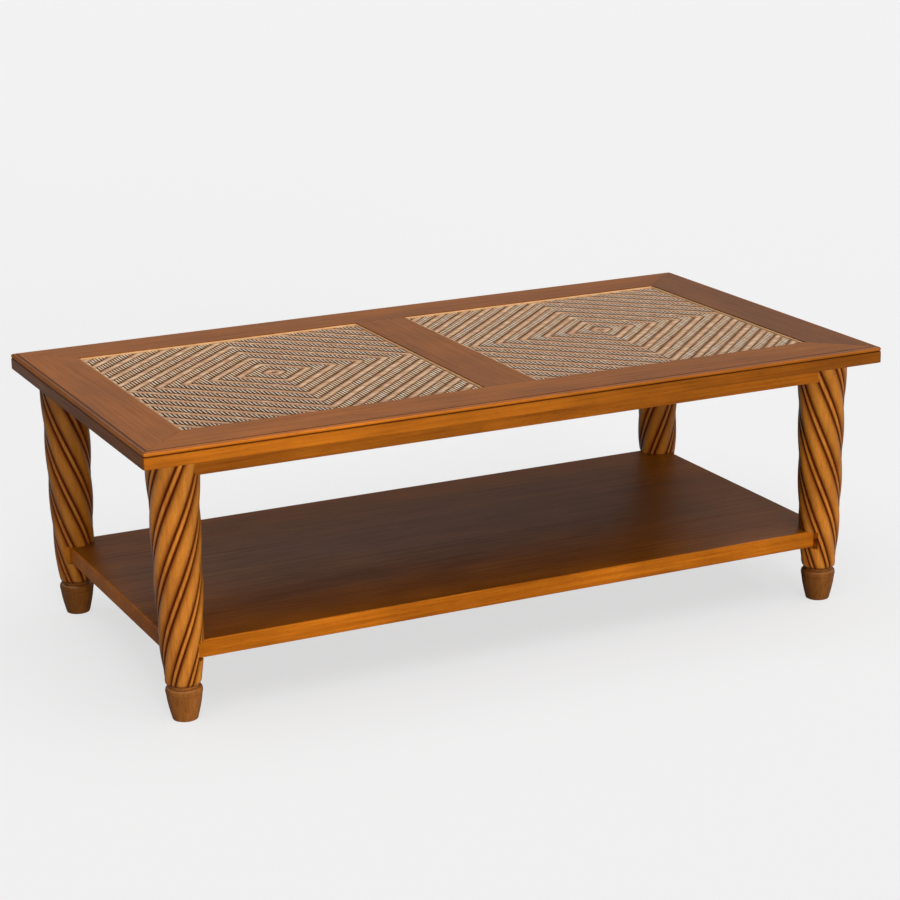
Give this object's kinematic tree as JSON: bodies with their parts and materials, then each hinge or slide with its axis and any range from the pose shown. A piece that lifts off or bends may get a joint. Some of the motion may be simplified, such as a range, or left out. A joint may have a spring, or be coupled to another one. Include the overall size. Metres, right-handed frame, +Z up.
{
  "type": "coffee table",
  "caption": "Low rectangular wooden table with woven cane panels in a moulded frame top, spiral-carved legs on turned feet, slim aprons and a low shelf.",
  "frame": {"origin": "on the floor under the middle of the top", "axes": "+X along a long side to the right, +Y to the back, +Z up; the front long side faces -Y"},
  "size_m": [1.2, 0.65, 0.42],
  "materials": {
    "frame_wood": "satin lacquer",
    "carved_wood": "gloss lacquer over a dark glaze in the grooves",
    "foot_wood": "worn satin lacquer",
    "hidden_wood": "bare",
    "board": "stained dark",
    "cane": "varnished",
    "mat": "varnished split cane",
    "steel": "zinc plated"
  },
  "bodies": {
    "root": {"top_front_rail": "frame_wood", "top_back_rail": "frame_wood", "top_left_rail": "frame_wood", "top_right_rail": "frame_wood", "top_centre_rail": "frame_wood", "front_left_mitre_spline": "hidden_wood", "front_right_mitre_spline": "hidden_wood", "back_left_mitre_spline": "hidden_wood", "back_right_mitre_spline": "hidden_wood", "left_backing_board": "board", "right_backing_board": "board", "left_woven_panel": "mat", "right_woven_panel": "mat", "left_panel_front_strip": "cane", "left_panel_back_strip": "cane", "left_panel_left_strip": "cane", "left_panel_right_strip": "cane", "right_panel_front_strip": "cane", "right_panel_back_strip": "cane", "right_panel_left_strip": "cane", "right_panel_right_strip": "cane", "front_apron": "frame_wood", "back_apron": "frame_wood", "left_apron": "frame_wood", "right_apron": "frame_wood", "front_left_leg": "carved_wood", "front_right_leg": "carved_wood", "back_left_leg": "carved_wood", "back_right_leg": "carved_wood", "front_left_foot": "foot_wood", "front_right_foot": "foot_wood", "back_left_foot": "foot_wood", "back_right_foot": "foot_wood", "front_left_corner_block": "hidden_wood", "front_right_corner_block": "hidden_wood", "back_left_corner_block": "hidden_wood", "back_right_corner_block": "hidden_wood", "front_left_shelf_dowel": "hidden_wood", "front_right_shelf_dowel": "hidden_wood", "back_left_shelf_dowel": "hidden_wood", "back_right_shelf_dowel": "hidden_wood", "front_apron_screw_1": "steel", "front_apron_screw_2": "steel", "front_apron_screw_3": "steel", "back_apron_screw_1": "steel", "back_apron_screw_2": "steel", "back_apron_screw_3": "steel", "left_apron_screw_1": "steel", "left_apron_screw_2": "steel", "right_apron_screw_1": "steel", "right_apron_screw_2": "steel", "shelf": "frame_wood"}
  },
  "joints": []
}
